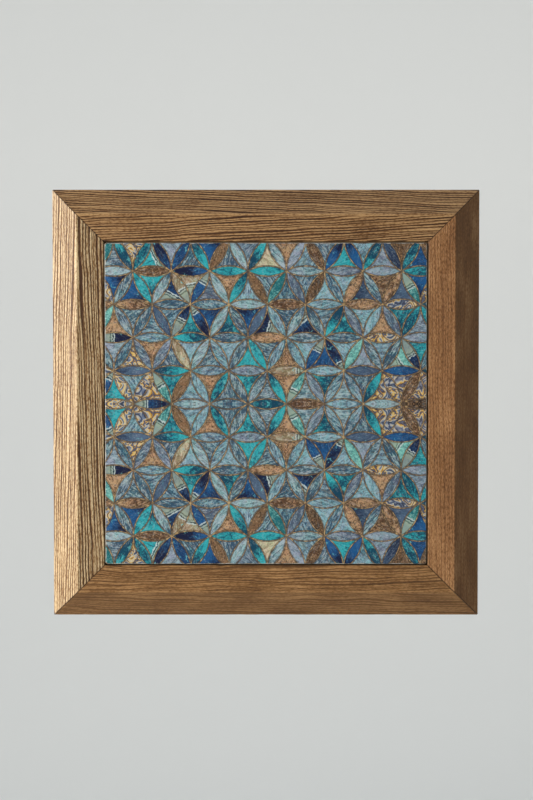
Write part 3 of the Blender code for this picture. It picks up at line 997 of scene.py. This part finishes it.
def hanger_mesh():
    """The strip's bent front, as a sheet without thickness."""
    half = (hanger_high.x - hanger_low.x) / 2
    lift = hanger_high.y - hanger_low.y - HANGER_THICKNESS
    ramp_foot = half - HANGER_TAB
    ramp_head = ramp_foot - HANGER_RAMP
    teeth = int(2 * (ramp_head - TOOTH_MARGIN) / TOOTH_PITCH)
    stations = [(-half, 0, CLIPPED_CORNER), (-half + CLIPPED_CORNER, 0, 0), (-ramp_foot, 0, 0)]
    stations.append((-ramp_head, lift, 0))
    for tooth in range(2 * teeth + 1):
        loss = TOOTH_DEPTH if tooth % 2 else 0
        stations.append(((tooth - teeth) * TOOTH_PITCH / 2, lift, -loss))
    stations += [(-along, raised, loss) for along, raised, loss in reversed(stations[:4])]
    mesh = bmesh.new()
    columns = []
    for along, raised, loss in stations:
        depth = hanger_low.y + raised
        top = mesh.verts.new((along, depth, hanger_high.z - max(loss, 0)))
        bottom = mesh.verts.new((along, depth, hanger_low.z + abs(loss)))
        columns.append((top, bottom))
    for (top, bottom), (next_top, next_bottom) in zip(columns, columns[1:]):
        mesh.faces.new((top, next_top, next_bottom, bottom))
    return as_mesh(mesh, "hanger_strip")


strip = show("hanger_strip", hanger_mesh())
strip.data.materials.append(steel)
plate = strip.modifiers.new("sheet", "SOLIDIFY")
plate.thickness = HANGER_THICKNESS
plate.offset = 1
plate.use_even_offset = True
eased = strip.modifiers.new("eased edges", "BEVEL")
eased.width = HANGER_EASING
eased.segments = 2
eased.limit_method = "ANGLE"
eased.angle_limit = SHARP_EDGE
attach(strip, "root")
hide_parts("hanger")

# The hanger's screws: two pan-head wood screws with a cross recess, zinc plated, turned through the
# strip's flat ends into the board.
SCREW_SHANK_RADIUS = 1.5 * MM
SCREW_HEAD_ROUNDING = 1.0 * MM
SCREW_SEAT_DEPTH = 10.4 * MM
SCREW_POINT = 1.4 * MM
SCREW_TIP_RADIUS = 0.4 * MM
SLOT_WIDTH = 1.1 * MM
SLOT_SPAN = 3.8 * MM
SLOT_DEPTH = 1.2 * MM
CUTTER_REACH = 1.4 * MM  # of the shape that cuts the recess, out of the head
CUTTER_EASING = 0.05 * MM
TIGHTENING = 0.7  # radians that one screw is turned further than the other
FIRST_TURN = 0.4  # of that, on the first screw
ROUND_SIDES = 48
HEAD_STEPS = 8
MERGE_REACH = 0.001 * MM  # within which two points become one


def lathe(profile, axis, sides, merged):
    """Spins a line of points round an axis through the origin, and merges the points that meet."""
    mesh = bmesh.new()
    dots = [mesh.verts.new(point) for point in profile]
    rim = [mesh.edges.new(pair) for pair in zip(dots, dots[1:])]
    bmesh.ops.spin(mesh, geom=dots + rim, axis=axis, angle=tau, steps=sides, use_merge=True)
    bmesh.ops.remove_doubles(mesh, verts=mesh.verts, dist=merged)
    bmesh.ops.recalc_face_normals(mesh, faces=mesh.faces)
    return mesh


def screw_mesh():
    """A pan-head screw with its middle on the Y axis, at its own depth."""
    head = (screw_high.x - screw_low.x) / 2
    crown = head - SCREW_HEAD_ROUNDING
    shoulder = screw_high.y - SCREW_HEAD_ROUNDING
    profile = [(0, screw_high.y)]
    for step in range(HEAD_STEPS + 1):
        angle = pi / 2 * (1 - step / HEAD_STEPS)
        radius = crown + SCREW_HEAD_ROUNDING * cos(angle)
        profile.append((radius, shoulder + SCREW_HEAD_ROUNDING * sin(angle)))
    profile += [
        (head, -SCREW_SEAT_DEPTH),
        (SCREW_SHANK_RADIUS, -SCREW_SEAT_DEPTH),
        (SCREW_SHANK_RADIUS, screw_low.y + SCREW_POINT),
        (SCREW_TIP_RADIUS, screw_low.y),
        (0, screw_low.y),
    ]
    points = [(radius, height, 0) for radius, height in profile]
    return as_mesh(lathe(points, (0, 1, 0), ROUND_SIDES, MERGE_REACH), "screw")


def cross_mesh():
    """The crossed recess that is cut into a screw's head."""
    far, near = SLOT_SPAN / 2, SLOT_WIDTH / 2
    bottom = screw_high.y - SLOT_DEPTH
    arm = [(far, -near), (far, near), (near, near)]
    outline = []
    for _ in range(4):
        outline += [(x, bottom, z) for x, z in arm]
        arm = [(-z, x) for x, z in arm]
    return as_mesh(prism(outline, (0, SLOT_DEPTH + CUTTER_REACH, 0), CUTTER_EASING), "cross")


screws = Growth("two screws", ["Reach", "Up", "Tightening"])
given = screws.given
recess = show("cross_recess", cross_mesh())
cutter = screws.step("ObjectInfo", {"transform_space": "ORIGINAL"}, output="Geometry", Object=recess)
cut = screws.step(
    "MeshBoolean",
    {"operation": "DIFFERENCE", "solver": "EXACT"},
    Mesh_1=given["Geometry"],
    Mesh_2=cutter,
)
ends = screws.step("MeshLine", {"mode": "END_POINTS", "count_mode": "TOTAL"}, Count=2)
number = screws.step("InputIndex")
ends = screws.step(
    "SetPosition",
    Geometry=ends,
    Position=screws.vector((number * 2 - 1) * given["Reach"], 0.0, given["Up"]),
)
fixed = screws.step(
    "InstanceOnPoints",
    Points=ends,
    Instance=cut,
    Rotation=screws.vector(0.0, (number + FIRST_TURN) * given["Tightening"], 0.0),
)
screws.close(fixed)
screw_mid = (screw_low + screw_high) / 2
fixings = screws.grow(
    "hanger_screws",
    screw_mesh(),
    {"Reach": screw_mid.x, "Up": screw_mid.z, "Tightening": TIGHTENING, "Finish": steel},
)
bpy.data.objects.remove(recess)
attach(fixings, "root")
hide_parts("hanger_screw_left", "hanger_screw_right")

# The studio: a pale paper floor that sweeps up all round, one large lamp that rakes across the face from
# the left, a softer one above, and one behind the panel that brightens the paper. The camera stands
# straight in front, a little higher than the panel's middle, with a long lens.
FLOOR_DROP = 1.1  # from the panel's middle down to the floor
SWEEP_RADIUS = 4.5
SWEEP_CURVE = 1.6
SWEEP_HEIGHT = 3.2
SWEEP_STEPS = 24
SWEEP_SIDES = 96
PAPER_COLOUR = (0.70, 0.70, 0.69, 1.0)
PAPER_TOOTH = 60  # lumps in a metre
LENS = 100
SENSOR = 36
VIEW_HEIGHT = 0.8275  # metres of the outer edge's plane that the picture's height takes in
VIEW_RISE = radians(2.6)
AIM_RIGHT = 0.6 * MM
AIM_UP = 3.2 * MM
KEY_AWAY = 3.3
KEY_ANGLE = radians(68)  # from straight in front, round to the left
KEY_RISE = radians(8)
SKY_COLOUR = (0.64, 0.88, 1.0, 1.0)
SKY_STRENGTH = 0.22


def sweep_mesh():
    """A round floor whose edge curves up into a wall."""
    floor = centre.z - FLOOR_DROP
    flat = SWEEP_RADIUS - SWEEP_CURVE
    profile = [(0.0, floor), (flat, floor)]
    for step in range(1, SWEEP_STEPS + 1):
        angle = pi / 2 * step / SWEEP_STEPS
        profile.append((flat + SWEEP_CURVE * sin(angle), floor + SWEEP_CURVE * (1 - cos(angle))))
    profile.append((SWEEP_RADIUS, floor + SWEEP_HEIGHT))
    mesh = lathe([(radius, 0, height) for radius, height in profile], (0, 0, 1), SWEEP_SIDES, MM)
    for face in mesh.faces:
        face.smooth = True
    return as_mesh(mesh, "studio_sweep")


sweep = show("studio_sweep", sweep_mesh())
paper, tree = start_finish("pale_paper")
paper_place = tree.node("ShaderNodeTexCoord", output="Object")
paper_tooth = tree.noise(paper_place, PAPER_TOOTH, 2)
close_finish(tree, PAPER_COLOUR, 0.9, paper_tooth, 0.1 * MM)
sweep.data.materials.append(paper)

key_way = Vector((-sin(KEY_ANGLE) * cos(KEY_RISE), -cos(KEY_ANGLE) * cos(KEY_RISE), sin(KEY_RISE)))

# The lamps are square and soft, and aren't seen themselves. Each one's place and what it faces are counted
# from the panel's middle. Then come its width, its power and its colour.
LAMPS = {
    "key": (key_way * KEY_AWAY, (0, 0, 0), 0.9, 125, (1.0, 0.94, 0.86)),
    "overhead": ((0.3, -0.6, 2.6), (0, 0, 0), 2.4, 8, (1.0, 1.0, 1.0)),
    "backdrop": ((0.0, 1.2, 0.6), (0.0, 4.5, 0.4), 2.0, 46, (1.0, 1.0, 1.0)),
}
for name, (place, target, width, power, colour) in LAMPS.items():
    light = bpy.data.lights.new(name, "AREA")
    light.size = width
    light.energy = power
    light.color = colour
    lamp = show(name, light)
    lamp.location = centre + Vector(place)
    lamp.rotation_euler = (centre + Vector(target) - lamp.location).to_track_quat("-Z", "Y").to_euler()
    lamp.visible_camera = False
world = bpy.data.worlds.new("studio")
world.use_nodes = True
sky = world.node_tree.nodes["Background"]
sky.inputs["Color"].default_value = SKY_COLOUR
sky.inputs["Strength"].default_value = SKY_STRENGTH
bpy.context.scene.world = world
bpy.context.scene.view_settings.view_transform = "Standard"

camera = show("camera", bpy.data.cameras.new("camera"))
camera.data.lens = LENS
camera.data.sensor_width = SENSOR
away = VIEW_HEIGHT * LENS / SENSOR
target = Vector((centre.x + AIM_RIGHT, -OUTER_SIDE_DEPTH, centre.z + AIM_UP))
back = Vector((0, -cos(VIEW_RISE), sin(VIEW_RISE)))
camera.location = target + back * away
camera.rotation_euler = (-back).to_track_quat("-Z", "Y").to_euler()
bpy.context.scene.camera = camera
